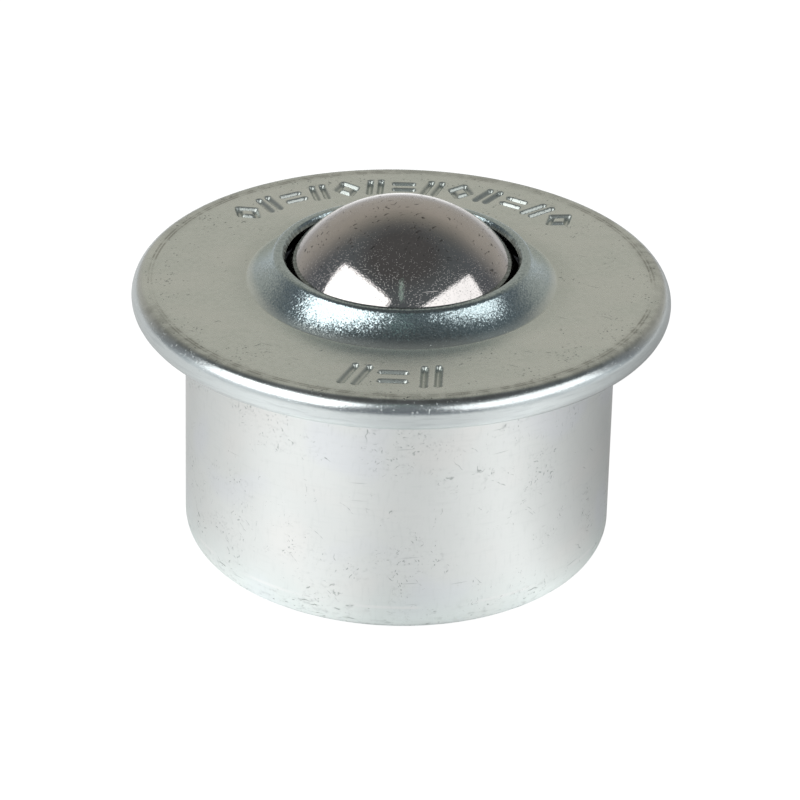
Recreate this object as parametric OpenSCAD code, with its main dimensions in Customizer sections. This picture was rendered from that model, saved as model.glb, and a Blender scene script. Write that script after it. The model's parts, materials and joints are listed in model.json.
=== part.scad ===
// Ball transfer unit. A load ball stands out of a pressed steel housing and rolls any way on a bed
// of small support balls, so that goods can be pushed over it in every direction. The housing drops
// into a round hole up to its flange. Millimetres; +Z is up, and the base's centre is the origin.

/* [Load ball] */
// Diameter of the load ball
ball_d = 22.225; // [19:0.025:24]

/* [Support balls] */
// Diameter of each support ball
support_d = 3.175; // [2.6:0.025:4]
// Least gap between one row of support balls and the next
row_gap = 0.1; // [0.05:0.01:0.3]
// Least gap between two neighbours in a row
side_gap = 0.05; // [0.02:0.01:0.1]
// Running play on each side of a support ball, to the load ball and to the race
ball_play = 0.03; // [0.02:0.01:0.05]
// Room between the top row and the retaining ring
head_room = 0.2; // [0.1:0.05:0.4]

/* [Housing] */
// Outside diameter of the housing, which drops into the mounting hole
housing_d = 36; // [34:0.1:40]
// Height from the base to the top of the flange
flange_top = 24; // [22:0.1:27]
// Thickness of the housing's sheet
housing_t = 1; // [0.8:0.05:1.2]
// Outside radius of the corner round the base
base_corner_r = 2.5; // [1.5:0.1:4]
// Radius of the bend under the clamped rim
neck_r = 0.9; // [0.6:0.05:1.1]

/* [Cover] */
// How far the flange stands out from the housing's wall
flange_w = 4.5; // [4.2:0.1:8]
// Thickness of the cover's sheet
cover_t = 0.9; // [0.7:0.05:1]
// Flat width of the edge that is curled in under the flange
hem_w = 1.7; // [1:0.1:2]
// Height of the collar above the flange
collar_h = 2.3; // [1.8:0.05:2.8]
// Slope of the collar's side just under the lip, in degrees
collar_slope = 53; // [48:1:58]
// Slope of the collar's side where it flares out to the foot, in degrees
collar_foot_slope = 36; // [30:1:42]
// Radius of the bend between the lip and the collar's side
collar_edge_r = 0.3; // [0.2:0.05:0.4]
// Radius of the fillet at the collar's foot
collar_foot_r = 0.3; // [0.2:0.05:0.8]
// Flat width of the lip round the collar's mouth
lip_w = 0.5; // [0.3:0.05:1]
// Height of the lip's cut edge
lip_t = 0.45; // [0.3:0.05:0.6]
// Gap between the lip's lower edge and the load ball
lip_gap = 0.4; // [0.3:0.01:0.5]
// How far the lip's cut edge slopes out from its lower edge to its upper edge
lip_slope = 0.3; // [0.1:0.05:0.5]

/* [Load seat] */
// Gap from the housing's wall to the seat and to the ring above it
seat_gap = 0.05; // [0.03:0.01:0.1]
// Chamfer round the seat's top edges
seat_chamfer = 0.4; // [0.2:0.1:0.6]

/* [Retaining ring] */
// Thickness of the ring
ring_t = 1.7; // [1:0.1:2.4]
// Gap between the ring and the widest part of the load ball
ring_gap = 0.25; // [0.15:0.05:0.4]
// Chamfer round the ring's edges
ring_chamfer = 0.3; // [0.2:0.1:0.4]

/* [Hidden] */
$fn = 96;
// Most that one straight piece of a bend turns through, in degrees
arc_step = 6;
// Cutters reach this far past a face
past = 1;

// Heights, counted down from the flange: the cover lies on the ring, the ring on the seat, and the
// top row of support balls is level with the load ball's centre
rim_top = flange_top - cover_t;
seat_top = rim_top - ring_t;
ball_z = seat_top - head_room - support_d / 2;

// The bed of support balls, on a sphere round the load ball's centre, has as many rows as fit
// between the one ball at the bottom and the top row
ball_r = ball_d / 2;
bed_r = ball_r + ball_play + support_d / 2;
race_r = bed_r + support_d / 2 + ball_play;
support_rows = floor(45 / asin((support_d + row_gap) / 2 / bed_r));
row_angle = 90 / support_rows;

// The flange is the housing's rim between two thicknesses of the cover
housing_r = housing_d / 2;
bore_r = housing_r - housing_t;
flange_t = housing_t + 2 * cover_t;
flange_bottom = flange_top - flange_t;
rim_bottom = rim_top - housing_t;
edge_r = flange_t / 2;
edge_x = housing_r + flange_w - edge_r;

// The lower edge of the lip's cut edge clears the load ball by the lip's gap
lip_top = flange_top + collar_h;
lip_bottom = lip_top - lip_t;
mouth_r = sqrt((ball_r + lip_gap) ^ 2 - (lip_bottom - ball_z) ^ 2);

// From the lip the collar turns down through a small bend into a hollow side, which flares out to a
// fillet at the flange. These are the directions that the side faces at its top and at its foot, the
// bends' centres, and the side's radius, which is the one that spans its height between the two
side_top = 90 - collar_slope;
side_foot = 90 - collar_foot_slope;
collar_edge = [mouth_r + lip_slope + lip_w, lip_top - collar_edge_r];
side_start = collar_edge + collar_edge_r * [cos(side_top), sin(side_top)];
side_end_z = flange_top + collar_foot_r * (1 - sin(side_foot));
side_r = (side_start[1] - side_end_z) / (sin(side_foot) - sin(side_top));
side_centre = side_start + side_r * [cos(side_top), sin(side_top)];
collar_foot = side_centre - (side_r - collar_foot_r) * [cos(side_foot), sin(side_foot)];

// The seat stands on the housing's floor, and its lower edge clears the corner there
seat_r = bore_r - seat_gap;
seat_corner = base_corner_r - housing_t + seat_gap;
ring_bore_r = ball_r + ring_gap;

// Points along a round bend about the point c, from one angle to another
function bend(c, r, from, to) =
    let (steps = ceil(abs(to - from) / arc_step))
    [for (i = [0:steps]) let (a = from + (to - from) * i / steps) c + r * [cos(a), sin(a)]];

function reversed(points) = [for (i = [len(points) - 1:-1:0]) points[i]];

// One face of the housing's sheet: k is 0 on the outside and the sheet's thickness on the inside
function housing_face(k) = concat(
    [[0, k]],
    bend([housing_r - base_corner_r, base_corner_r], base_corner_r - k, -90, 0),
    bend([housing_r + neck_r, rim_bottom - neck_r], neck_r + k, 180, 90),
    [[edge_x, rim_bottom + k]]
);

// One face of the cover's sheet, from the collar's side out round the edge to the end of the hem
function cover_face(k) = concat(
    bend(side_centre, side_r + k, 180 + side_top, 180 + side_foot),
    bend(collar_foot, collar_foot_r + k, 180 + side_foot, 270),
    bend([edge_x, flange_top - edge_r], edge_r - k, 90, -90),
    [[edge_x - hem_w, flange_bottom + k]]
);

// The lip, where the sheet is pressed thin and cut: its cut edge, its flat top and its outer bend
function lip_face() = concat(
    [[mouth_r, lip_bottom], [mouth_r + lip_slope, lip_top]],
    bend(collar_edge, collar_edge_r, 90, side_top)
);

module pressed(outer_face, inner_face)
    rotate_extrude()
        polygon(concat(outer_face, reversed(inner_face)));

// Deep-drawn cup with a flat base and an out-turned rim
module housing_cup()
    color("gainsboro")
        pressed(housing_face(0), housing_face(housing_t));

// Pressed cap: the collar keeps the load ball in, and the edge is curled round the housing's rim
module cover()
    color("silver")
        pressed(concat(lip_face(), cover_face(0)), cover_face(cover_t));

// Hardened seat, turned all over, with the race that the support balls roll in
module load_seat()
    color("dimgray")
        difference() {
            rotate_extrude()
                polygon([
                    [0, housing_t],
                    [seat_r - seat_corner, housing_t],
                    [seat_r, housing_t + seat_corner],
                    [seat_r, seat_top - seat_chamfer],
                    [seat_r - seat_chamfer, seat_top],
                    [0, seat_top]
                ]);
            translate([0, 0, ball_z])
                sphere(r = race_r);
            translate([0, 0, ball_z])
                cylinder(r = race_r, h = flange_top);
            translate([0, 0, seat_top - seat_chamfer])
                cylinder(r1 = race_r, r2 = race_r + seat_chamfer + past, h = seat_chamfer + past);
        }

// Ring clamped between the seat and the cover, which keeps the support balls down in the race
module retaining_ring()
    color("darkgray")
        rotate_extrude()
            polygon([
                [ring_bore_r + ring_chamfer, seat_top],
                [seat_r, seat_top],
                [seat_r, rim_top - ring_chamfer],
                [seat_r - ring_chamfer, rim_top],
                [ring_bore_r + ring_chamfer, rim_top],
                [ring_bore_r, rim_top - ring_chamfer],
                [ring_bore_r, seat_top + ring_chamfer]
            ]);

module load_ball()
    color("lightsteelblue")
        translate([0, 0, ball_z])
            sphere(d = ball_d);

module support_ball()
    color("whitesmoke")
        sphere(d = support_d, $fn = 32);

module support_ball_bottom()
    translate([0, 0, ball_z - bed_r])
        support_ball();

// A row holds as many balls as fit round it, and each row is turned by half a ball from the last
module support_balls_row(row) {
    around_r = bed_r * sin(row * row_angle);
    count = floor(180 / asin((support_d + side_gap) / 2 / around_r));
    for (i = [0:count - 1])
        rotate([0, 0, 360 * (i + row / 2) / count])
            translate([around_r, 0, ball_z - bed_r * cos(row * row_angle)])
                support_ball();
}

housing_cup();
cover();
load_seat();
retaining_ring();
load_ball();
support_ball_bottom();
for (row = [1:support_rows])
    support_balls_row(row);
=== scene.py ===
import json
import math
from collections import namedtuple

import bmesh
import bpy
from mathutils import Matrix, Vector


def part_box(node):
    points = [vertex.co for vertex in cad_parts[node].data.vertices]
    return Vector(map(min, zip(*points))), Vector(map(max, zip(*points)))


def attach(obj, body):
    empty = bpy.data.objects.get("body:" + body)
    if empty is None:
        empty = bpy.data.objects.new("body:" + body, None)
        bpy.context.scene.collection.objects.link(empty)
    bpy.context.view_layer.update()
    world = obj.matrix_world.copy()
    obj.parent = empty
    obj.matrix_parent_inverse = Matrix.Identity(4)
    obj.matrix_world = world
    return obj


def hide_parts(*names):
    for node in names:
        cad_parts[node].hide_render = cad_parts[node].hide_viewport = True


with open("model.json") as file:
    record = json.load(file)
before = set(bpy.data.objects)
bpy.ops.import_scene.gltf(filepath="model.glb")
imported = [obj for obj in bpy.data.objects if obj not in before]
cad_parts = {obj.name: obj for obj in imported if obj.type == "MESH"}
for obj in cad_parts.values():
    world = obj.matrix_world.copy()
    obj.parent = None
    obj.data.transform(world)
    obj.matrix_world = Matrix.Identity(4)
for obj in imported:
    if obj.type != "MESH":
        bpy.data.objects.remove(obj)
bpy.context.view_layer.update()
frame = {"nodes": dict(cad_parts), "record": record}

MM = 0.001

# Sheet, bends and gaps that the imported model's boxes don't give
HOUSING_SHEET = 1.0 * MM
BASE_CORNER_R = 2.5 * MM
NECK_R = 0.9 * MM
HEM_W = 1.7 * MM
COLLAR_SLOPE = math.radians(53)
COLLAR_FOOT_SLOPE = math.radians(36)
COLLAR_EDGE_R = 0.3 * MM
COLLAR_FOOT_R = 0.3 * MM
LIP_W = 0.5 * MM
LIP_T = 0.45 * MM
LIP_GAP = 0.4 * MM
LIP_SLOPE = 0.3 * MM

# Broken edges, and the bend outside the lip as wear has softened it
LIP_EDGE_R = 0.06 * MM
HEM_EDGE_R = 0.1 * MM
RIM_EDGE_R = 0.05 * MM
CROWN_R = 0.55 * MM

# The top of the flange's edge bends down sharply at first and then bulges
BROW_R = 0.8 * MM
BROW_BEND = math.radians(45)
BULGE_R = 1.65 * MM

# How near a bend its neighbouring flat is held flat, from which turn a corner is sharp, and the steps
# round the housing and the ball
HOLD = 0.06 * MM
SHARP_FROM = math.radians(60)
HOUSING_STEPS = 480
BALL_STEPS = 360

# Stamped marks on the flange: a fine row at the back and a bolder one at the front. First is the
# motif that a row starts with, and facing is the way out to its middle
MarkRow = namedtuple("MarkRow", "places first radius pitch width height facing")
BACK_ROW = MarkRow(
    places=13, first=0, radius=18.0 * MM, pitch=2.5 * MM, width=1.7 * MM, height=2.3 * MM,
    facing=math.radians(90),
)
FRONT_ROW = MarkRow(
    places=3, first=1, radius=17.75 * MM, pitch=3.05 * MM, width=2.1 * MM, height=3.05 * MM,
    facing=math.radians(-91.6),
)
MARK_ROWS = (BACK_ROW, FRONT_ROW)
MARK_STROKE = 0.4 * MM
MARK_SOFTNESS = 0.34 * MM
MARK_DEPTH = 0.34 * MM

# Size of the cover's mesh where it is stamped, and its steps round each stretch between the rows
MARK_CELL = 0.08 * MM
PLAIN_STEPS = 80


# ---------------------------------------------------------------- the unit's sizes, from the frame

housing_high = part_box("housing_cup")[1]
cover_low, cover_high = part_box("cover")
ball_low, ball_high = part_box("load_ball")
spigot = next(m for m in frame["record"]["mounts"] if m["name"] == "body_spigot")

housing_r = spigot["dims"]["r_mm"] * MM
rim_top = housing_high.z
rim_r = housing_high.x
rim_bottom = rim_top - HOUSING_SHEET
flange_r = cover_high.x
flange_bottom = cover_low.z
cover_sheet = rim_bottom - flange_bottom
flange_top = rim_top + cover_sheet
edge_r = (flange_top - flange_bottom) / 2
lip_top = cover_high.z
lip_bottom = lip_top - LIP_T
ball_r = (ball_high.z - ball_low.z) / 2
ball_z = (ball_high.z + ball_low.z) / 2
mouth_r = math.sqrt((ball_r + LIP_GAP) ** 2 - (lip_bottom - ball_z) ** 2)


def slope_frame(slope):
    """Which way a face of the collar faces, and the way down it."""
    return Vector((math.sin(slope), math.cos(slope))), Vector((math.cos(slope), -math.sin(slope)))


# The collar's side runs in a hollow arc from the bend at the lip to the fillet at the foot
side_facing, down_side = slope_frame(COLLAR_SLOPE)
foot_facing, down_foot = slope_frame(COLLAR_FOOT_SLOPE)
side_start = Vector((mouth_r + LIP_SLOPE + LIP_W, lip_top - COLLAR_EDGE_R))
side_start += COLLAR_EDGE_R * side_facing
side_end_z = flange_top + COLLAR_FOOT_R * (1 - foot_facing.y)
side_r = (side_start.y - side_end_z) / (foot_facing.y - side_facing.y)


def collar_corners(depth):
    """Where the collar's side starts, and the corners of its hollow and its foot, that deep."""
    start = side_start - depth * side_facing
    reach = (side_r + depth) * math.tan((COLLAR_SLOPE - COLLAR_FOOT_SLOPE) / 2)
    side = start + reach * down_side
    foot_reach = (COLLAR_FOOT_R + depth) * math.tan(COLLAR_FOOT_SLOPE / 2)
    foot = side + (reach + foot_reach) * down_foot
    return start, (*side, side_r + depth, 8), (*foot, COLLAR_FOOT_R + depth, 5)


# Radii and heights that the finishes follow, in millimetres
wall_mm = housing_r / MM
corner_mm = BASE_CORNER_R / MM
mouth_mm = (mouth_r + LIP_SLOPE) / MM
foot_mm = collar_corners(0)[2][0] / MM
rim_mm = flange_r / MM
top_mm = flange_top / MM
lip_mm = lip_bottom / MM


# ---------------------------------------------------------------- node trees

class Signal:
    """A value in a node tree. An expression written on it adds the Math nodes that work it out."""

    def __init__(self, graph, socket):
        self.graph = graph
        self.socket = socket

    def also(self, output):
        """Another output of the node that this value comes from."""
        return Signal(self.graph, self.graph.find(self.socket.node.outputs, output))

    def maths(self, operation, *terms):
        """What a Math node makes of the terms."""
        settings = {"operation": operation}
        return self.graph.make("ShaderNodeMath", settings, dict(enumerate(terms)))

    def __add__(self, other):
        return self.maths("ADD", self, other)

    def __radd__(self, other):
        return self.maths("ADD", other, self)

    def __sub__(self, other):
        return self.maths("SUBTRACT", self, other)

    def __rsub__(self, other):
        return self.maths("SUBTRACT", other, self)

    def __mul__(self, other):
        return self.maths("MULTIPLY", self, other)

    def __rmul__(self, other):
        return self.maths("MULTIPLY", other, self)

    def __truediv__(self, other):
        return self.maths("DIVIDE", self, other)

    def __pow__(self, other):
        return self.maths("POWER", self, other)

    def __lt__(self, other):
        return self.maths("LESS_THAN", self, other)

    def __abs__(self):
        return self.maths("ABSOLUTE", self)

    def floor(self):
        return self.maths("FLOOR", self)

    def sin(self):
        return self.maths("SINE", self)

    def cos(self):
        return self.maths("COSINE", self)

    def pingpong(self, top):
        return self.maths("PINGPONG", self, top)

    def larger(self, other):
        return self.maths("MAXIMUM", self, other)


class Graph:
    """A node tree and the one way to add a node to it."""

    def __init__(self, tree):
        self.tree = tree

    @staticmethod
    def find(sockets, key):
        """A socket by its name, or by its place among those in use."""
        used = [socket for socket in sockets if socket.enabled]
        if isinstance(key, int):
            return used[key]
        return next(socket for socket in used if socket.name == key)

    def make(self, kind, settings=None, inputs=None, output=0):
        """Adds a node with its settings, then its sockets' values or links, and gives one output."""
        node = self.tree.nodes.new(kind)
        for name, value in (settings or {}).items():
            if name == "stops":
                self.set_stops(node.color_ramp, value)
            else:
                setattr(node, name, value)
        for key, value in (inputs or {}).items():
            socket = self.find(node.inputs, key)
            if isinstance(value, Signal):
                self.tree.links.new(value.socket, socket)
            elif socket.type == "RGBA":
                socket.default_value = (*value, 1.0)
            else:
                socket.default_value = value
        if not node.outputs:
            return None
        return Signal(self, self.find(node.outputs, output))

    @staticmethod
    def set_stops(ramp, stops):
        """Fills a colour ramp from pairs of a place and a colour."""
        while len(ramp.elements) < len(stops):
            ramp.elements.new(1.0)
        for element, (place, colour) in zip(ramp.elements, stops):
            element.position = place
            element.color = (*colour, 1.0)

    def take(self, name, kind):
        """A named input of a geometry tree."""
        self.tree.interface.new_socket(name, in_out="INPUT", socket_type=kind)
        return self.make("NodeGroupInput", output=name)


# ---------------------------------------------------------------- shapes

def add_tree(piece, tree, **sizes):
    """Puts a geometry tree on a piece. Its inputs are set by identifier, before it first runs."""
    modifier = piece.modifiers.new(tree.name, "NODES")
    modifier.node_group = tree
    sockets = {item.name: item for item in tree.interface.items_tree if item.in_out == "INPUT"}
    for name, value in sizes.items():
        modifier[sockets[name.capitalize()].identifier] = value


def new_object(name, points, edges=(), faces=()):
    mesh = bpy.data.meshes.new(name)
    mesh.from_pydata(points, edges, faces)
    made = bpy.data.objects.new(name, mesh)
    bpy.context.scene.collection.objects.link(made)
    return made


def settle(piece):
    """Turns what a piece's trees make into its own plain mesh."""
    shown = piece.evaluated_get(bpy.context.evaluated_depsgraph_get())
    mesh = bpy.data.meshes.new_from_object(shown)
    piece.modifiers.clear()
    old = piece.data
    piece.data = mesh
    bpy.data.meshes.remove(old)
    mesh.name = piece.name


def face_outward(piece):
    """Turns every face of a closed skin outward and keeps only its true corners sharp."""
    skin = bmesh.new()
    skin.from_mesh(piece.data)
    bmesh.ops.recalc_face_normals(skin, faces=skin.faces)
    skin.to_mesh(piece.data)
    skin.free()
    piece.data.set_sharp_from_angle(angle=SHARP_FROM)


def outline(corners, closed):
    """Points along a section in the XZ plane. A corner is (x, z), or (x, z, radius, pieces) where
    it is rounded, and each flat is held flat up to the bends at its ends."""
    stretches = []
    count = len(corners)
    for i, corner in enumerate(corners):
        at = Vector(corner[:2])
        if len(corner) == 2:
            stretches.append(([at], False))
            continue
        radius, pieces = corner[2:]
        into = (at - Vector(corners[i - 1][:2])).normalized()
        out = (Vector(corners[(i + 1) % count][:2]) - at).normalized()
        turn = into.angle_signed(out)
        start = at - into * radius * math.tan(abs(turn) / 2)
        side = Vector((-into.y, into.x)) if turn < 0 else Vector((into.y, -into.x))
        centre = start + side * radius
        spin = [Matrix.Rotation(-turn * k / pieces, 2) for k in range(pieces + 1)]
        stretches.append(([centre + s @ (start - centre) for s in spin], pieces > 2))
    points = []
    for i, (stretch, bend) in enumerate(stretches):
        points += stretch
        after, next_bend = stretches[(i + 1) % count]
        flat = after[0] - stretch[-1]
        if flat.length > 3 * HOLD and (closed or i + 1 < count):
            step = flat.normalized() * HOLD
            points += [stretch[-1] + step] if bend else []
            points += [after[0] - step] if next_bend else []
    if closed:
        points.append(points[0])
    kept = [p for p, q in zip(points, points[1:]) if (p - q).length > HOLD / 100]
    return [(p.x, 0, p.y) for p in kept + points[-1:]]


def stations(*sectors):
    """Points round the Z axis where a section is set down. A sector is the angle that it ends at and
    its steps, and the first one starts where the last one ends."""
    turns = []
    start = sectors[-1][0] - math.tau
    for end, steps in sectors:
        turns += [start + (end - start) * i / steps for i in range(steps)]
        start = end
    return new_object("stations", [(math.cos(t), math.sin(t), 0) for t in [*turns, start]])


def lathe_tree():
    """Turns an outline round the Z axis, through the stations."""
    g = Graph(bpy.data.node_groups.new("lathe", "GeometryNodeTree"))
    line = g.take("Outline", "NodeSocketGeometry")
    stops = g.take("Stations", "NodeSocketObject")
    material = g.take("Finish", "NodeSocketMaterial")
    g.tree.interface.new_socket("Skin", in_out="OUTPUT", socket_type="NodeSocketGeometry")

    round_points = g.make("GeometryNodeObjectInfo", {}, {"Object": stops}, "Geometry")
    rings = g.make("GeometryNodeAttributeDomainSize", {}, {"Geometry": line}, "Point Count")
    steps = g.make("GeometryNodeAttributeDomainSize", {}, {"Geometry": round_points}, "Point Count")
    across = {"Vertices X": rings, "Vertices Y": steps}
    grid = g.make("GeometryNodeMeshGrid", {}, across, "Mesh")
    index = g.make("GeometryNodeInputIndex")
    ring = ((index + 0.5) / steps).floor()

    where = g.make("GeometryNodeInputPosition")
    ask = {"Geometry": line, "Value": where, "Index": ring}
    at = g.make("GeometryNodeSampleIndex", {"data_type": "FLOAT_VECTOR"}, ask)
    ask = {"Geometry": round_points, "Value": where, "Index": index - ring * steps}
    towards = g.make("GeometryNodeSampleIndex", {"data_type": "FLOAT_VECTOR"}, ask)
    x = g.make("ShaderNodeSeparateXYZ", {}, {0: at})
    facing = g.make("ShaderNodeSeparateXYZ", {}, {0: towards})
    turned = {"X": x * facing, "Y": x * facing.also("Y"), "Z": x.also("Z")}
    place = g.make("ShaderNodeCombineXYZ", {}, turned)
    skin = g.make("GeometryNodeSetPosition", {}, {"Geometry": grid, "Position": place})
    skin = g.make("GeometryNodeMergeByDistance", {}, {"Geometry": skin, "Distance": MM / 1000})
    skin = g.make("GeometryNodeSetShadeSmooth", {}, {"Geometry": skin, "Shade Smooth": True})
    skin = g.make("GeometryNodeRealizeInstances", {}, {"Geometry": skin})
    skin = g.make("GeometryNodeSetMaterial", {}, {"Geometry": skin, "Material": material})
    g.make("NodeGroupOutput", {}, {"Skin": skin})
    return g.tree


def mark_row_tree():
    """Sets marks out along an arc, in turn up and down through the motifs of a collection."""
    g = Graph(bpy.data.node_groups.new("mark_row", "GeometryNodeTree"))
    g.take("Start", "NodeSocketGeometry")
    motifs = g.take("Motifs", "NodeSocketCollection")
    places = g.take("Places", "NodeSocketInt")
    first = g.take("First", "NodeSocketInt")
    radius = g.take("Radius", "NodeSocketFloat")
    facing = g.take("Facing", "NodeSocketFloat")
    pitch = g.take("Pitch", "NodeSocketFloat")
    height = g.take("Height", "NodeSocketFloat")
    material = g.take("Finish", "NodeSocketMaterial")
    g.tree.interface.new_socket("Strokes", in_out="OUTPUT", socket_type="NodeSocketGeometry")

    index = g.make("GeometryNodeInputIndex")
    turn = facing + pitch * (index - (places - 1) / 2) / radius
    spot = {"X": radius * turn.cos(), "Y": radius * turn.sin(), "Z": height}
    place = g.make("ShaderNodeCombineXYZ", {}, spot)
    points = g.make("GeometryNodePoints", {}, {"Count": places, "Position": place})
    upright = g.make("ShaderNodeCombineXYZ", {}, {"Z": turn - math.pi / 2})
    rotation = g.make("FunctionNodeEulerToRotation", {}, {0: upright})
    kinds = {"Collection": motifs, "Separate Children": True, "Reset Children": True}
    choice = g.make("GeometryNodeCollectionInfo", {}, kinds)
    row = g.make("GeometryNodeInstanceOnPoints", {}, {
        "Points": points,
        "Instance": choice,
        "Pick Instance": True,
        "Instance Index": (index + first).pingpong(len(MOTIFS) - 1),
        "Rotation": rotation,
    })
    row = g.make("GeometryNodeRealizeInstances", {}, {"Geometry": row})
    row = g.make("GeometryNodeSetMaterial", {}, {"Geometry": row, "Material": material})
    g.make("NodeGroupOutput", {}, {"Strokes": row})
    return g.tree


def stamping_tree():
    """Sinks a skin along the strokes of an object's edges, with soft walls."""
    g = Graph(bpy.data.node_groups.new("stamping", "GeometryNodeTree"))
    skin = g.take("Skin", "NodeSocketGeometry")
    strokes = g.take("Strokes", "NodeSocketObject")
    width = g.take("Stroke", "NodeSocketFloat")
    softness = g.take("Softness", "NodeSocketFloat")
    depth = g.take("Depth", "NodeSocketFloat")
    material = g.take("Finish", "NodeSocketMaterial")
    g.tree.interface.new_socket("Skin", in_out="OUTPUT", socket_type="NodeSocketGeometry")

    lines = g.make("GeometryNodeObjectInfo", {}, {"Object": strokes}, "Geometry")
    near = {"target_element": "EDGES"}
    away = g.make("GeometryNodeProximity", near, {0: lines}, "Distance")
    sunk = g.make("ShaderNodeMapRange", {"interpolation_type": "SMOOTHSTEP"}, {
        "Value": away,
        "From Min": (width + softness) / 2,
        "From Max": (width - softness) / 2,
    })
    down = g.make("ShaderNodeCombineXYZ", {}, {"Z": 0 - depth * sunk})
    skin = g.make("GeometryNodeSetPosition", {}, {"Geometry": skin, "Offset": down})
    named = {"Geometry": skin, "Name": "stamped", "Value": sunk}
    skin = g.make("GeometryNodeStoreNamedAttribute", {"data_type": "FLOAT"}, named)
    skin = g.make("GeometryNodeRealizeInstances", {}, {"Geometry": skin})
    skin = g.make("GeometryNodeSetMaterial", {}, {"Geometry": skin, "Material": material})
    g.make("NodeGroupOutput", {}, {"Skin": skin})
    return g.tree


# ---------------------------------------------------------------- finishes

# Zinc on the housing: two shades of the coat, its films, the lines that drawing left, its wear, and
# painted light and shade
BRIGHT_ZINC = (0.875, 0.90, 0.885)
PALE_ZINC = (0.91, 0.935, 0.92)
COLD_FILM = (0.86, 0.89, 0.96)
WARM_FILM = (0.95, 0.92, 0.89)
# Greener and paler: partly a film, partly painted light that lifts the low wall
GREEN_FILM_AND_PAINTED_LIGHT = (0.86, 0.97, 0.95)
DRAWING_LINES = (0.58, 0.62, 0.61)
FIBRE_LINES = (0.56, 0.60, 0.59)
# Also painted shade along the bottom edge, where the housing stands on the floor
WORN_AND_SHADED_ZINC = (0.24, 0.27, 0.26)
# A painted highlight: the pale line along the top of the base's rounded corner
PAINTED_HIGHLIGHT_ZINC = (0.98, 0.99, 0.98)

# Zinc on the cover: satin on the flange, bluish on the collar, bright on the edge, its wear, and
# painted shade
SATIN_ZINC = (0.82, 0.885, 0.838)
LIGHT_SATIN = (0.89, 0.952, 0.905)
SATIN_SWIRL = (0.93, 0.975, 0.93)
EDGE_ZINC = (0.785, 0.835, 0.835)
EDGE_LINES = (0.50, 0.55, 0.56)
COLLAR_ZINC = (0.62, 0.725, 0.745)
COLLAR_FLECKS = (0.34, 0.44, 0.465)
COLLAR_SHADE = (0.42, 0.50, 0.46)
# Also painted shade in the walls of the stamped marks
SCUFFED_AND_SHADED_SATIN = (0.16, 0.18, 0.17)
WITNESS_RING = (0.31, 0.31, 0.27)
RUBBED_RING = (0.27, 0.29, 0.27)
# Painted shade: the cover's face inside the mouth, made near black
COVER_INSIDE_SHADE = (0.10, 0.10, 0.10)

# Steels
BALL_STEEL = (0.65, 0.62, 0.605)
HAZY_BALL_STEEL = (0.59, 0.565, 0.55)
PITTED_STEEL = (0.09, 0.08, 0.075)
# Kept dark partly as painted shade, since these parts sit in the gap under the lip
DARK_STEEL = (0.20, 0.20, 0.21)
TURNED_STEEL = (0.30, 0.30, 0.31)
OILED_STEEL = (0.20, 0.17, 0.14)
SMALL_BALL_STEEL = (0.72, 0.72, 0.73)
OILED_BALL_STEEL = (0.63, 0.62, 0.61)

# Kinds of stroke: the turn in degrees, the length and the width, the share of the places that have
# one, the seed, and how much it bends
WALL_SCUFFS = (
    (40, (0.85, 0.10), 0.55, 11, 1.4),
    (-50, (0.7, 0.10), 0.5, 12, 1.4),
)
WALL_SCRATCHES = (
    (84, (3.5, 0.05), 0.05, 13, 0.8),
    (-40, (2.2, 0.06), 0.03, 14, 0.5),
    (20, (4.5, 0.05), 0.03, 16, 1.5),
    (3, (2.0, 0.05), 0.04, 15, 0),
)
CORNER_RUBS = (3, (1.6, 0.10), 0.5, 21, 0.5)
FLANGE_SCUFFS = (40, (0.6, 0.1), 0.5, 34, 1.2)
FLANGE_SCRATCHES = (-25, (1.6, 0.05), 0.03, 37)
BALL_DASHES = (
    (25, (0.9, 0.15), 0.6, 45, 0.9),
    (75, (0.8, 0.13), 0.6, 46, 0.9),
)
BALL_SCRATCHES = (
    (15, (2.4, 0.05), 0.04, 47),
    (-35, (2.0, 0.05), 0.04, 48),
)

# Radii at which fine lines are laid round the flange's edge and round the lip's cut edge
EDGE_LINES_R = rim_mm - 0.5
LIP_LINES_R = 9.8
# The line z + lean * r runs between the two faces of the collar's sheet
COLLAR_LEAN = 0.88
COLLAR_MIDDLE = 34.95


def mm_place(g):
    """The point on the piece, in millimetres."""
    place = g.make("ShaderNodeTexCoord", {}, {}, "Object")
    return g.make("ShaderNodeVectorMath", {"operation": "SCALE"}, {0: place, "Scale": 1 / MM})


def round_place(g, where):
    """Distance from the Z axis, and height, in millimetres."""
    parts = g.make("ShaderNodeSeparateXYZ", {}, {0: where})
    x, y, z = parts, parts.also("Y"), parts.also("Z")
    return (x * x + y * y) ** 0.5, z


def unrolled(g, where, radius):
    """The place on a wall round the Z axis, laid flat: along it, and up it."""
    parts = g.make("ShaderNodeSeparateXYZ", {}, {0: where})
    turn = parts.maths("ARCTAN2", parts, 0 - parts.also("Y"))
    flat = {"X": turn * radius, "Y": parts.also("Z")}
    return g.make("ShaderNodeCombineXYZ", {}, flat)


def noise(g, where, scale, detail=2.0, seed=0, stretch=(1, 1, 1)):
    """Soft noise about 0.5, with that many features to the millimetre."""
    shifted = {"Vector": where, "Location": (seed * 13, seed * 7, seed * 5), "Scale": stretch}
    moved = g.make("ShaderNodeMapping", {}, shifted)
    return g.make("ShaderNodeTexNoise", {}, {"Vector": moved, "Scale": scale, "Detail": detail})


def fade(g, value, low, high):
    """0 up to low, 1 from high, and smooth between."""
    smooth = {"interpolation_type": "SMOOTHSTEP"}
    return g.make("ShaderNodeMapRange", smooth, {"Value": value, "From Min": low, "From Max": high})


def blend(g, share, a, b):
    """Colour a where share is 0, and b where it is 1."""
    ends = {"Factor": share, "A": a, "B": b}
    return g.make("ShaderNodeMix", {"data_type": "RGBA"}, ends)


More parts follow.
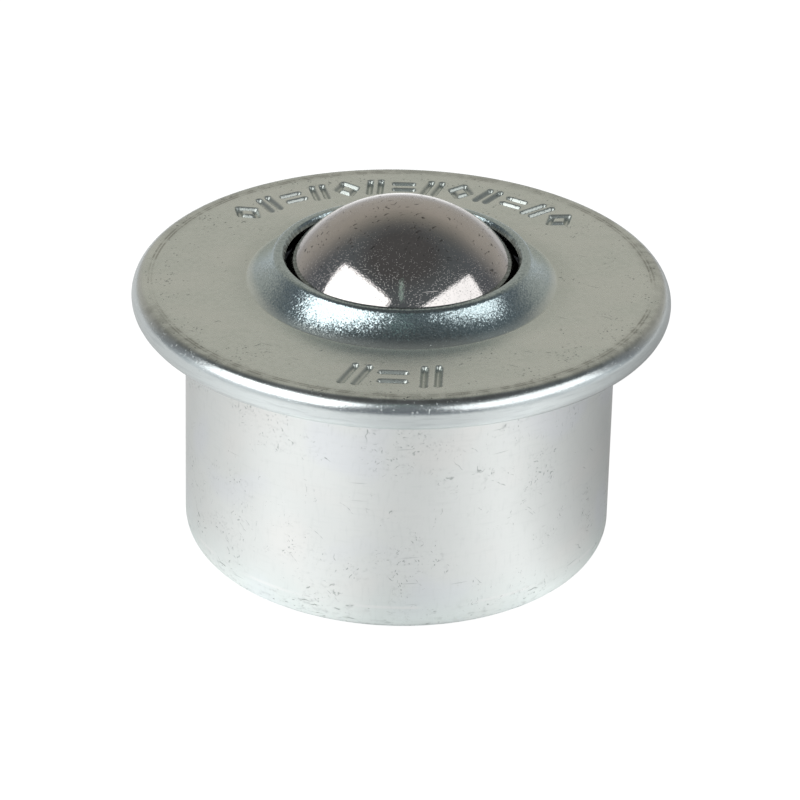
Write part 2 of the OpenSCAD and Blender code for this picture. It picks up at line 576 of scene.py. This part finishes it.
def strokes_of_use(g, where, turn, size, share, seed, bend=0):
    """Separate short strokes, pointed at both ends, in that share of the cells of a scattered grid.
    The turn is about Z, in degrees, and the size gives the length and the width of a stroke."""
    long, wide = size
    if bend:
        wave = g.make("ShaderNodeTexNoise", {}, {"Vector": where, "Scale": 1.1, "Detail": 1.0}, "Color")
        add = {"operation": "MULTIPLY_ADD"}
        where = g.make("ShaderNodeVectorMath", add, {0: wave, 1: (bend,) * 3, 2: where})
    moved = g.make("ShaderNodeMapping", {"vector_type": "TEXTURE"}, {
        "Vector": where,
        "Location": (seed * 7, seed * 11, seed * 5),
        "Rotation": (0, 0, math.radians(turn)),
        "Scale": (2 * long, 3 * wide, 3 * wide),
    })
    cell = g.make("ShaderNodeTexVoronoi", {}, {"Vector": moved, "Scale": 1.0}, "Distance")
    chance = g.make("ShaderNodeSeparateColor", {}, {0: cell.also("Color")})
    return fade(g, cell, 0.25, 0.1) * (chance < share)


def all_strokes(g, where, kinds):
    """Strokes of several kinds together."""
    return sum(strokes_of_use(g, where, *kind) for kind in kinds)


def nicks(g, where, scale, size, share, seed, stretch=(1, 1, 1)):
    """Small separate spots, in that share of the cells of a scattered grid."""
    shifted = {"Vector": where, "Location": (seed * 11, seed * 3, seed * 17), "Scale": stretch}
    moved = g.make("ShaderNodeMapping", {}, shifted)
    ripple = g.make("ShaderNodeTexNoise", {}, {"Vector": moved, "Scale": scale * 3}, "Color")
    add = {"operation": "MULTIPLY_ADD"}
    moved = g.make("ShaderNodeVectorMath", add, {0: ripple, 1: (0.5 / scale,) * 3, 2: moved})
    cell = g.make("ShaderNodeTexVoronoi", {}, {"Vector": moved, "Scale": scale}, "Distance")
    chance = g.make("ShaderNodeSeparateColor", {}, {0: cell.also("Color")})
    return fade(g, cell, size, size * 0.5) * (chance < share)


def facets(g, where, scale, tilt):
    """The surface's normal, tipped another way in each small cell, as in the grains of a coat."""
    cell = g.make("ShaderNodeTexVoronoi", {}, {"Vector": where, "Scale": scale}, "Color")
    lean = g.make("ShaderNodeVectorMath", {"operation": "SUBTRACT"}, {0: cell, 1: (0.5,) * 3})
    lean = g.make("ShaderNodeVectorMath", {"operation": "SCALE"}, {0: lean, "Scale": tilt})
    flat = g.make("ShaderNodeNewGeometry", {}, {}, "Normal")
    tipped = g.make("ShaderNodeVectorMath", {"operation": "ADD"}, {0: flat, 1: lean})
    return g.make("ShaderNodeVectorMath", {"operation": "NORMALIZE"}, {0: tipped})


def bump(g, height, distance, over=None):
    """A normal from a height whose full range is that distance, over another normal if given."""
    raised = {"Height": height, "Distance": distance}
    if over:
        raised["Normal"] = over
    return g.make("ShaderNodeBump", {}, raised)


def housing_coat(g, where, z):
    """The housing's clean zinc, with a cold film, a warm one, and a greenish one low on the wall,
    partly painted light.
    """
    patches = fade(g, noise(g, where, 0.1, 1, seed=3), 0.4, 0.6)
    film = noise(g, where, 0.13, 1, seed=8)
    coat = blend(g, patches, BRIGHT_ZINC, PALE_ZINC)
    coat = blend(g, fade(g, film, 0.52, 0.68) * 0.35, coat, COLD_FILM)
    coat = blend(g, fade(g, film, 0.46, 0.3) * 0.3, coat, WARM_FILM)
    # Partly painted light: the low wall is made greener and paler
    return blend(g, fade(g, z, corner_mm + 3.5, corner_mm - 1.5) * 0.4, coat, GREEN_FILM_AND_PAINTED_LIGHT)


def wall_scuffs(g, wall):
    """Crossed scuffs, spots and smears, in patches."""
    worn = fade(g, noise(g, wall, 0.3, 3, seed=19), 0.53, 0.62)
    spots = nicks(g, wall, 3.0, 0.2, 0.15, 17, stretch=(1, 0.6, 1))
    smears = fade(g, noise(g, wall, 2.6, 3, seed=18), 0.5, 0.75)
    return (all_strokes(g, wall, WALL_SCUFFS) + spots + smears * 0.3) * worn


def corner_rubs(g, wall, z):
    """Wear on the rounded corner, where the housing stands and slides on things."""
    corner = fade(g, z, corner_mm + 0.6, corner_mm + 0.2)
    patches = fade(g, noise(g, wall, 0.3, 2, seed=23), 0.38, 0.52)
    spots = nicks(g, wall, 3.0, 0.22, 0.35, 22, stretch=(0.5, 1, 1))
    smears = fade(g, noise(g, wall, 2.0, 4, seed=28, stretch=(0.6, 1, 1)), 0.52, 0.7)
    return (strokes_of_use(g, wall, *CORNER_RUBS) + spots + smears * 0.4) * corner * patches


def drawn_zinc(g):
    """Bright zinc on the drawn housing: pale, finely brushed and scuffed, with a painted highlight line
    and painted shade.
    """
    where = mm_place(g)
    z = round_place(g, where)[1]
    off_base = fade(g, z, 0.02, 0.12)
    sides = {"Factor": off_base, "A": where, "B": unrolled(g, where, wall_mm)}
    wall = g.make("ShaderNodeMix", {"data_type": "VECTOR"}, sides)
    drawing = noise(g, wall, 3.4, 3, seed=4, stretch=(0.14, 1, 1))
    fibre = noise(g, wall, 3.6, 3, seed=6, stretch=(1, 0.2, 1))
    grain = noise(g, where, 5.0, 2, seed=24)
    scuffs = wall_scuffs(g, wall)
    scratches = all_strokes(g, wall, WALL_SCRATCHES)
    # Painted shade: the very bottom of the wall is darkened where it meets the floor
    contact_shade = fade(g, z, 0.95, 0.3) * off_base
    # Scuffs, scratches and rubs, and the painted shade of the bottom edge
    darkened = scuffs * 0.52 + scratches * 0.4 + corner_rubs(g, wall, z) * 0.6 + contact_shade * 0.45
    # A ridge in the bump and a painted highlight in the colour, along the top of the corner
    ridge_and_highlight = fade(g, abs(z - (corner_mm + 0.3)), 0.2, 0.05)
    ridge_and_highlight = ridge_and_highlight * fade(g, noise(g, wall, 0.2, 2, seed=26), 0.4, 0.6)

    base = housing_coat(g, where, z)
    base = blend(g, fade(g, drawing, 0.5, 0.8) * 0.1, base, DRAWING_LINES)
    base = blend(g, fade(g, fibre, 0.5, 0.8) * 0.13, base, FIBRE_LINES)
    base = blend(g, darkened, base, WORN_AND_SHADED_ZINC)
    base = blend(g, ridge_and_highlight * 0.5, base, PAINTED_HIGHLIGHT_ZINC)
    height = grain * 0.6 + drawing * 0.4 + fibre * 0.4 + ridge_and_highlight * 0.8
    height = height - scuffs * 0.8 - scratches * 0.4
    return {
        "Base Color": base,
        "Metallic": 1.0,
        "Roughness": 0.35 + grain * 0.08 + darkened * 0.25,
        "Normal": bump(g, height, 0.005 * MM),
    }


def cover_coat(g, where, grain, fleck, flange, collar, edge):
    """The cover's clean zinc: a satin swirl on the flange, flecks on the collar, lines on the edge."""
    swirl = noise(g, where, 0.12, 2, seed=33, stretch=(1, 2.2, 1))
    rolled = noise(g, unrolled(g, where, EDGE_LINES_R), 3.5, 3, seed=42, stretch=(0.1, 1, 1))
    satin = blend(g, fade(g, grain, 0.3, 0.7), SATIN_ZINC, LIGHT_SATIN)
    satin = blend(g, fade(g, swirl, 0.42, 0.62) * 0.5, satin, SATIN_SWIRL)
    bright = blend(g, collar, EDGE_ZINC, COLLAR_ZINC)
    bright = blend(g, fade(g, fleck, 0.42, 0.6) * collar * 0.65, bright, COLLAR_FLECKS)
    bright = blend(g, fade(g, rolled, 0.45, 0.75) * edge * 0.35, bright, EDGE_LINES)
    return blend(g, flange, bright, satin)


def flange_scuffs(g, where, r):
    """Scuffs and specks in patches, more of them towards the rim, and a few long scratches."""
    near_rim = 0.3 + fade(g, r, rim_mm - 6, rim_mm - 2.5)
    worn = fade(g, noise(g, where, 0.25, 3, seed=36), 0.52, 0.6)
    speckled = fade(g, noise(g, where, 0.5, 3, seed=40), 0.44, 0.56)
    scuffs = strokes_of_use(g, where, *FLANGE_SCUFFS) * worn
    scuffs = scuffs + nicks(g, where, 2.6, 0.22, 0.6, 35) * worn * near_rim
    specks = nicks(g, where, 3.2, 0.27, 0.5, 41, stretch=(1, 0.7, 1)) * speckled * near_rim
    return scuffs + specks * 0.6 + strokes_of_use(g, where, *FLANGE_SCRATCHES) * 0.6


def rim_wear(g, where, r, z):
    """Two thin witness rings of the curling tool, and the ring outside them that is rubbed dark."""
    smeared = fade(g, noise(g, where, 1.1, 3, seed=43), 0.38, 0.6)
    witness = fade(g, abs(abs(r - (rim_mm - 1.54)) - 0.13), 0.13, 0.02)
    witness = witness * fade(g, noise(g, where, 0.12, 1, seed=38), 0.36, 0.5)
    rubbed = fade(g, r, rim_mm - 2.4, rim_mm - 1.1) * fade(g, r, rim_mm - 0.3, rim_mm - 0.7)
    rubbed = rubbed * fade(g, z, top_mm - 1.1, top_mm - 0.6)
    rubbed = rubbed * fade(g, noise(g, where, 0.09, 1, seed=44), 0.3, 0.6)
    return witness * (0.25 + smeared * 0.55), rubbed * (0.45 + smeared * 0.55)


def lip_and_inside(g, r, z):
    """The lip's cut edge, and the cover's face inside the mouth."""
    above_lip = fade(g, z, lip_mm - 0.05, lip_mm + 0.01)
    within = fade(g, z + r * COLLAR_LEAN, COLLAR_MIDDLE + 0.1, COLLAR_MIDDLE - 0.1)
    return fade(g, r, mouth_mm + 0.02, mouth_mm - 0.03) * above_lip, within * (1 - above_lip)


def pressed_zinc(g):
    """Satin zinc on the cover: a speckled flange, a bluish sparkling collar and edge, stamped marks,
    and painted shade.
    """
    where = mm_place(g)
    r, z = round_place(g, where)
    flange = fade(g, r, foot_mm - 0.86, foot_mm + 0.24) * fade(g, r, rim_mm - 0.6, rim_mm - 1.1)
    collar = (1 - flange) * (r < (foot_mm + rim_mm) / 2)
    edge = 1 - flange - collar
    cut, inside = lip_and_inside(g, r, z)
    stamped = g.make("ShaderNodeAttribute", {"attribute_name": "stamped"}, {}, "Fac")
    # Painted shade in the walls of the stamped marks
    wall_shade = stamped * (1 - stamped) * 4
    grain = noise(g, where, 2.6, 2, seed=31)
    fleck = noise(g, where, 7.5, 2, seed=32)
    streaks = noise(g, unrolled(g, where, LIP_LINES_R), 3.0, 2, seed=39, stretch=(1, 0.2, 1))
    scuffs = flange_scuffs(g, where, r)
    witness, rubbed = rim_wear(g, where, r, z)
    # Scuffs, the cut edge's streaks, and the painted shade of the marks' walls
    darkened = scuffs * flange * 0.65 + wall_shade * 0.7 + cut * fade(g, streaks, 0.4, 0.6) * 0.5

    base = cover_coat(g, where, grain, fleck, flange, collar, edge)
    base = blend(g, darkened, base, SCUFFED_AND_SHADED_SATIN)
    base = blend(g, witness * 0.8, base, WITNESS_RING)
    base = blend(g, rubbed * 0.5, base, RUBBED_RING)
    base = blend(g, fade(g, r, foot_mm + 2.24, foot_mm + 0.24) * flange * 0.16, base, COLLAR_SHADE)
    # Painted shade inside the mouth
    base = blend(g, inside, base, COVER_INSIDE_SHADE)
    rough = 0.14 + flange * (1 - stamped) * 0.11 + edge * 0.08 + grain * 0.05 + darkened * 0.1
    height = grain * (0.2 + flange * 0.3) + fleck * (0.15 + collar * 0.7) - scuffs * 0.8
    sparkle = facets(g, where, 9.0, collar * 0.11 + edge * 0.035)
    return {
        "Base Color": base,
        "Metallic": 1 - flange * 0.12,
        "Roughness": rough,
        "Normal": bump(g, height, 0.012 * MM, sparkle),
    }


def polished_ball(g):
    """Polished bearing steel with the fine pits and scratches of use, most in a band over the ball."""
    where = mm_place(g)
    haze = noise(g, where, 0.25, 3, seed=41)
    y = g.make("ShaderNodeSeparateXYZ", {}, {0: where}).also("Y")
    band = fade(g, y + noise(g, where, 0.3, 2, seed=52) * 5, -3.4, -1.4)
    worn = fade(g, noise(g, where, 0.3, 2, seed=42), 0.38, 0.5) * band
    pits = nicks(g, where, 2.2, 0.17, 0.45, 43) * worn + nicks(g, where, 3.4, 0.2, 0.12, 44)
    dashes = all_strokes(g, where, BALL_DASHES) * worn
    scratches = all_strokes(g, where, BALL_SCRATCHES)
    pinpricks = nicks(g, where, 8.0, 0.33, 0.5, 53)
    darkened = pits * 0.7 + dashes * 0.75 + scratches * 0.2
    grain = noise(g, where, 7.0, 2, seed=49)

    base = blend(g, fade(g, haze, 0.35, 0.7), BALL_STEEL, HAZY_BALL_STEEL)
    height = grain * 0.7 - pits - dashes - scratches * 0.6 - pinpricks * 0.8
    return {
        "Base Color": blend(g, darkened, base, PITTED_STEEL),
        "Metallic": 1.0,
        "Roughness": 0.045 + haze * 0.04 + darkened * 0.3,
        "Normal": bump(g, height, 0.006 * MM),
    }


def turned_steel(g):
    """Hardened steel with the rings that turning leaves, lightly oiled, and kept dark partly as painted
    shade.
    """
    where = mm_place(g)
    r, z = round_place(g, where)
    rings = g.make("ShaderNodeCombineXYZ", {}, {"X": r, "Y": z})
    cut = noise(g, rings, 7.0, 3, seed=51)
    cloud = noise(g, where, 0.3, 3, seed=52)
    base = blend(g, fade(g, cut, 0.3, 0.7), DARK_STEEL, TURNED_STEEL)
    return {
        "Base Color": blend(g, fade(g, cloud, 0.45, 0.7) * 0.4, base, OILED_STEEL),
        "Metallic": 1.0,
        "Roughness": 0.22 + cloud * 0.16,
        "Normal": bump(g, cut, 0.01 * MM),
    }


def support_ball_steel(g):
    """Polished bearing steel of the small balls, with a trace of oil."""
    where = mm_place(g)
    haze = noise(g, where, 0.8, 3, seed=61)
    base = blend(g, fade(g, haze, 0.35, 0.7), SMALL_BALL_STEEL, OILED_BALL_STEEL)
    return {"Base Color": base, "Metallic": 1.0, "Roughness": 0.07 + haze * 0.08}


def finish(name, recipe):
    """A material whose surface is what the recipe gives for its sockets."""
    material = bpy.data.materials.new(name)
    material.use_nodes = True
    material.node_tree.nodes.clear()
    g = Graph(material.node_tree)
    surface = g.make("ShaderNodeBsdfPrincipled", {}, recipe(g))
    g.make("ShaderNodeOutputMaterial", {}, {"Surface": surface})
    return material


# ---------------------------------------------------------------- outlines and marks

def housing_outline():
    """The housing's section, from the base's centre up the outside and back down the bore."""
    bore_r = housing_r - HOUSING_SHEET
    return outline([
        (0, 0),
        (housing_r, 0, BASE_CORNER_R, 14),
        (housing_r, rim_bottom, NECK_R, 8),
        (rim_r, rim_bottom, RIM_EDGE_R, 2),
        (rim_r, rim_top, RIM_EDGE_R, 2),
        (bore_r, rim_top, NECK_R + HOUSING_SHEET, 6),
        (bore_r, HOUSING_SHEET, BASE_CORNER_R - HOUSING_SHEET, 6),
        (0, HOUSING_SHEET),
    ], closed=False)


def stamped_band():
    """Points across the part of the flange that is stamped, about a cell apart."""
    around = (MARK_STROKE + MARK_SOFTNESS) / 2 + 2 * MARK_CELL
    start = min(row.radius - row.height / 2 for row in MARK_ROWS) - around
    end = max(row.radius + row.height / 2 for row in MARK_ROWS) + around
    cells = math.ceil((end - start) / MARK_CELL)
    return [(start + (end - start) * i / cells, flange_top) for i in range(cells + 1)]


def edge_corners():
    """The corners round the flange's edge: the brow, the bulge and the round one below them."""
    brow = BROW_R * math.tan(BROW_BEND / 2)
    bulge = BULGE_R * math.tan((math.pi / 2 - BROW_BEND) / 2)
    brow_r = flange_r - (brow + bulge) * math.cos(BROW_BEND)
    bulge_z = flange_top - (brow + bulge) * math.sin(BROW_BEND)
    lower_r = bulge_z - bulge - flange_bottom
    return (
        (brow_r, flange_top, BROW_R, 4),
        (flange_r, bulge_z, BULGE_R, 8),
        (flange_r, flange_bottom, lower_r, 8),
    )


def cover_outline():
    """The cover's section, from the lip out over the collar and round the edge, and back inside."""
    start, side, foot = collar_corners(0)
    inner_start, inner_side, inner_foot = collar_corners(cover_sheet)
    inner_r = flange_r - cover_sheet
    inner_edge_r = edge_r - cover_sheet
    hem_r = flange_r - edge_r - HEM_W
    # The softer bend at the crown takes a little off the start of the hollow
    crown = start - COLLAR_EDGE_R * math.tan(COLLAR_SLOPE / 2) * down_side
    eased = (CROWN_R - COLLAR_EDGE_R) * math.tan(COLLAR_SLOPE / 2)
    hollow_r = side_r - eased / math.tan((COLLAR_SLOPE - COLLAR_FOOT_SLOPE) / 2)
    return outline([
        (mouth_r + LIP_SLOPE, lip_top, LIP_EDGE_R, 2),
        (*crown, CROWN_R, 6),
        (*side[:2], hollow_r, 8),
        foot,
        *stamped_band(),
        *edge_corners(),
        (hem_r, flange_bottom, HEM_EDGE_R, 2),
        (hem_r, rim_bottom, HEM_EDGE_R, 2),
        (inner_r, rim_bottom, inner_edge_r, 3),
        (inner_r, rim_top, inner_edge_r, 3),
        inner_foot,
        inner_side,
        tuple(inner_start),
        (mouth_r, lip_bottom, LIP_EDGE_R, 2),
    ], closed=True)


def ball_outline(rings):
    """Half a circle, from the bottom of the ball to its top."""
    angles = [math.pi * (i / rings - 0.5) for i in range(rings + 1)]
    return [(ball_r * math.cos(a), 0, ball_z + ball_r * math.sin(a)) for a in angles]


def cover_stations():
    """Fine steps behind the marks, and coarse ones between the rows."""
    sectors = []
    for row in MARK_ROWS:
        reach = row.places * row.pitch / 2 / row.radius
        steps = math.ceil(2 * reach * row.radius / MARK_CELL)
        middle = row.facing % math.tau
        sectors += [(middle - reach, PLAIN_STEPS), (middle + reach, steps)]
    return stations(*sectors)


def turn_piece(lathe, name, points, material, around):
    """A piece made by turning an outline through stations."""
    edges = [(i, i + 1) for i in range(len(points) - 1)]
    piece = new_object(name, points, edges)
    add_tree(piece, lathe, stations=around, finish=material)
    return piece


# Plain marks, as strokes in halves of their width and height: lozenges, ticks and bars
MOTIFS = (
    [[(0, 1), (1, 0), (0, -1), (-1, 0), (0, 1)]],
    [[(-0.8, -1), (-0.3, 1)], [(0.3, -1), (0.8, 1)]],
    [[(-0.9, -0.5), (0.9, -0.5)], [(-0.9, 0.5), (0.9, 0.5)]],
)


def motif(name, strokes, width, height):
    """One mark, as an object of edges."""
    points = [(x * width / 2, y * height / 2, 0) for stroke in strokes for x, y in stroke]
    edges = []
    start = 0
    for stroke in strokes:
        edges += [(start + i, start + i + 1) for i in range(len(stroke) - 1)]
        start += len(stroke)
    return new_object(name, points, edges)


def mark_row(tree, row, material):
    """A row of marks along an arc, as an object of edges."""
    motifs = bpy.data.collections.new("motifs")
    made = [motif(f"motif_{i}", strokes, row.width, row.height) for i, strokes in enumerate(MOTIFS)]
    for shape in made:
        motifs.objects.link(shape)
    marks = new_object("mark_row", [])
    add_tree(
        marks, tree, motifs=motifs, places=row.places, first=row.first, radius=row.radius,
        facing=row.facing, pitch=row.pitch, height=flange_top, finish=material,
    )
    settle(marks)
    for shape in made:
        bpy.data.objects.remove(shape)
    bpy.data.collections.remove(motifs)
    return marks


def stamp_strokes(material):
    """Both rows as one object of edges."""
    tree = mark_row_tree()
    strokes = new_object("strokes", [])
    joined = bmesh.new()
    for row in MARK_ROWS:
        marks = mark_row(tree, row, material)
        joined.from_mesh(marks.data)
        bpy.data.objects.remove(marks)
    joined.to_mesh(strokes.data)
    joined.free()
    return strokes


# ---------------------------------------------------------------- the pieces

drawn = finish("drawn_zinc", drawn_zinc)
pressed = finish("pressed_zinc", pressed_zinc)
polished = finish("polished_ball", polished_ball)
hardened = finish("turned_steel", turned_steel)
bearing = finish("support_ball_steel", support_ball_steel)

lathe = lathe_tree()
housing_stations = stations((0, HOUSING_STEPS))
marked_stations = cover_stations()
ball_stations = stations((0, BALL_STEPS))
housing = turn_piece(lathe, "housing_shell", housing_outline(), drawn, housing_stations)
cover = turn_piece(lathe, "cover_shell", cover_outline(), pressed, marked_stations)
ball = turn_piece(lathe, "load_ball_skin", ball_outline(BALL_STEPS // 2), polished, ball_stations)

strokes = stamp_strokes(pressed)
add_tree(
    cover, stamping_tree(), strokes=strokes, stroke=MARK_STROKE, softness=MARK_SOFTNESS,
    depth=MARK_DEPTH, finish=pressed,
)
for piece in (housing, cover, ball):
    settle(piece)
    face_outward(piece)
for helper in (strokes, housing_stations, marked_stations, ball_stations):
    bpy.data.objects.remove(helper)

for piece, node, body, slot in (
    (housing, "housing_cup", "housing", "housing_steel"),
    (cover, "cover", "housing", "cover_steel"),
    (ball, "load_ball", "load_ball", "ball_steel"),
):
    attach(piece, body)
    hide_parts(node)

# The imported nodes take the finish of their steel
node_finish = {
    "housing_cup": drawn,
    "cover": pressed,
    "load_ball": polished,
    "load_seat": hardened,
    "retaining_ring": hardened,
}
for name, node in frame["nodes"].items():
    for material_slot in node.material_slots:
        material_slot.material = node_finish.get(name, bearing)


# ---------------------------------------------------------------- the studio

FLOOR_R = 4.0
SOFTBOX_AWAY = 0.8
# Each softbox has its name, azimuth from the camera's side, elevation, width, height and radiance
SOFTBOXES = (
    ("left_softbox", -56, 38, 0.868, 0.536, 2.05),
    ("right_softbox", 58, 33, 0.92, 0.40, 1.4),
)

# Painted glow on the floor as the metal sees it, by degrees from the camera's side, besides what the
# lamps give
PAINTED_FLOOR_GLOW = (
    (-180, 1.05),
    (-155, 0.40),
    (-118, 0.33),
    (-86, 0.41),
    (-47, 0.73),
    (-23, 0.62),
    (-4, 0.38),
    (8, 0.38),
    (23, 0.46),
    (47, 0.70),
    (70, 0.41),
    (90, 0.23),
    (118, 0.13),
    (155, 0.20),
    (180, 1.05),
)
# Past the painted glow, which ends softly between these two distances from the unit, the floor is plain
GLOW_END = (0.11, 0.35)
FLOOR_FAR = 0.45
# The floor as the camera sees it, and as the lamps light it
FLOOR_SEEN = 0.85
FLOOR_LIT = 0.5

# The room from the horizon, 0, to overhead, 1, on the far side of the unit and on the camera's side
FAR_SIDE = (
    (0.00, (0.47, 0.46, 0.45)),
    (0.10, (0.45, 0.43, 0.39)),
    (0.33, (0.42, 0.395, 0.35)),
    (0.52, (0.26, 0.25, 0.22)),
    (0.66, (0.13, 0.125, 0.12)),
    (0.76, (0.075, 0.075, 0.075)),
)
NEAR_SIDE = (
    (0.00, (0.30, 0.32, 0.34)),
    (0.15, (0.125, 0.135, 0.15)),
    (0.60, (0.115, 0.13, 0.137)),
    (0.76, (0.09, 0.09, 0.09)),
)
# A narrow slit of light between the softboxes, and a pale band low down on the left and right
SLIT = (0.55, 0.75, 0.66)
LOW_BAND = (0.62, 0.65, 0.67)


def direction(azimuth, elevation):
    """Unit vector; azimuth 0 is the camera's side, -Y, and grows towards +X."""
    a, e = math.radians(azimuth), math.radians(elevation)
    return Vector((math.sin(a) * math.cos(e), -math.cos(a) * math.cos(e), math.sin(e)))


def looking_in(towards, away, centre):
    """The place of a lamp or camera that far out in a direction, looking back at the centre."""
    turned = (-towards).to_track_quat("-Z", "Y").to_matrix().to_4x4()
    return Matrix.Translation(centre + towards * away) @ turned


def add_softbox(name, azimuth, elevation, width, height, radiance):
    """A rectangular lamp that faces the unit."""
    lamp = bpy.data.lights.new(name, "AREA")
    lamp.shape = "RECTANGLE"
    lamp.size = width
    lamp.size_y = height
    lamp.energy = radiance * math.pi * width * height
    softbox = bpy.data.objects.new(name, lamp)
    softbox.visible_camera = False
    softbox.matrix_world = looking_in(direction(azimuth, elevation), SOFTBOX_AWAY, Vector())
    bpy.context.scene.collection.objects.link(softbox)


def grey(level):
    return (level, level, level)


def add_floor():
    """White floor that still shows the unit's shadow. The metal sees a painted glow on it in pale
    lobes.
    """
    corners = [(x * FLOOR_R, y * FLOOR_R, 0) for x, y in ((-1, -1), (1, -1), (1, 1), (-1, 1))]
    floor = new_object("floor", corners, faces=[(0, 1, 2, 3)])
    material = bpy.data.materials.new("floor")
    material.use_nodes = True
    material.node_tree.nodes.clear()
    g = Graph(material.node_tree)
    camera = g.make("ShaderNodeLightPath", {}, {}, "Is Camera Ray")
    mirrored = camera.also("Is Glossy Ray").larger(camera.also("Is Transmission Ray"))
    where = g.make("ShaderNodeTexCoord", {}, {}, "Object")
    away = g.make("ShaderNodeVectorMath", {"operation": "LENGTH"}, {0: where}, "Value")
    parts = g.make("ShaderNodeSeparateXYZ", {}, {0: where})
    turn = parts.maths("ARCTAN2", parts, 0 - parts.also("Y")) / math.tau + 0.5
    stops = [(azimuth / 360 + 0.5, grey(level)) for azimuth, level in PAINTED_FLOOR_GLOW]
    # Painted glow round the unit, seen only in reflections
    painted_glow = g.make("ShaderNodeValToRGB", {"stops": stops}, {0: turn})
    shine = blend(g, fade(g, away, *GLOW_END), painted_glow, grey(FLOOR_FAR))
    colour = blend(g, camera, shine, grey(FLOOR_SEEN))
    lit = g.make("ShaderNodeBsdfDiffuse", {}, {"Color": grey(FLOOR_LIT)})
    glow = g.make("ShaderNodeEmission", {}, {"Color": colour, "Strength": camera.larger(mirrored)})
    both = g.make("ShaderNodeAddShader", {}, {0: lit, 1: glow})
    g.make("ShaderNodeOutputMaterial", {}, {"Surface": both})
    floor.data.materials.append(material)


def add_room():
    """Dim room: dark overhead and behind the camera, brighter down to the horizon behind the unit."""
    world = bpy.data.worlds.new("room")
    bpy.context.scene.world = world
    world.use_nodes = True
    world.node_tree.nodes.clear()
    g = Graph(world.node_tree)
    camera = g.make("ShaderNodeLightPath", {}, {}, "Is Camera Ray")
    towards = g.make("ShaderNodeTexCoord", {}, {}, "Generated")
    x = g.make("ShaderNodeSeparateXYZ", {}, {0: towards})
    y, z = x.also("Y"), x.also("Z")
    rise = z.maths("ARCSINE", z) / math.radians(90)
    far_side = g.make("ShaderNodeValToRGB", {"stops": FAR_SIDE}, {0: rise})
    near_side = g.make("ShaderNodeValToRGB", {"stops": NEAR_SIDE}, {0: rise})
    slit = fade(g, abs(x), 0.02, 0.004) * fade(g, y, -0.3, -0.4)
    slit = slit * fade(g, rise, 0.5, 0.56) * fade(g, rise, 0.76, 0.7)
    low_band = fade(g, rise, 0.23, 0.19) * fade(g, abs(x), 0.5, 0.68) * fade(g, y, 0.3, 0.0)
    near_side = blend(g, slit, near_side, SLIT)
    near_side = blend(g, low_band, near_side, LOW_BAND)
    colour = blend(g, fade(g, y, 0.25, 0.8), near_side, far_side)
    colour = blend(g, camera, colour, (1, 1, 1))
    sky = g.make("ShaderNodeBackground", {}, {"Color": colour, "Strength": 1.0})
    g.make("ShaderNodeOutputWorld", {}, {"Surface": sky})


CAMERA_ELEVATION = 27.77
CAMERA_AWAY = 0.378
CAMERA_AIM = Vector((0.0001, 0, 0.01256))
CAMERA_ROLL = 1.39
CAMERA_LENS = 201.3


def add_camera():
    """Long lens from the front and above, rolled a little."""
    data = bpy.data.cameras.new("camera")
    data.lens = CAMERA_LENS
    camera = bpy.data.objects.new("camera", data)
    towards = direction(0, CAMERA_ELEVATION)
    roll = Matrix.Rotation(math.radians(CAMERA_ROLL), 4, "Z")
    camera.matrix_world = looking_in(towards, CAMERA_AWAY, CAMERA_AIM) @ roll
    bpy.context.scene.collection.objects.link(camera)
    bpy.context.scene.camera = camera


for softbox in SOFTBOXES:
    add_softbox(*softbox)
add_floor()
add_room()
add_camera()
bpy.context.scene.view_settings.view_transform = "Standard"
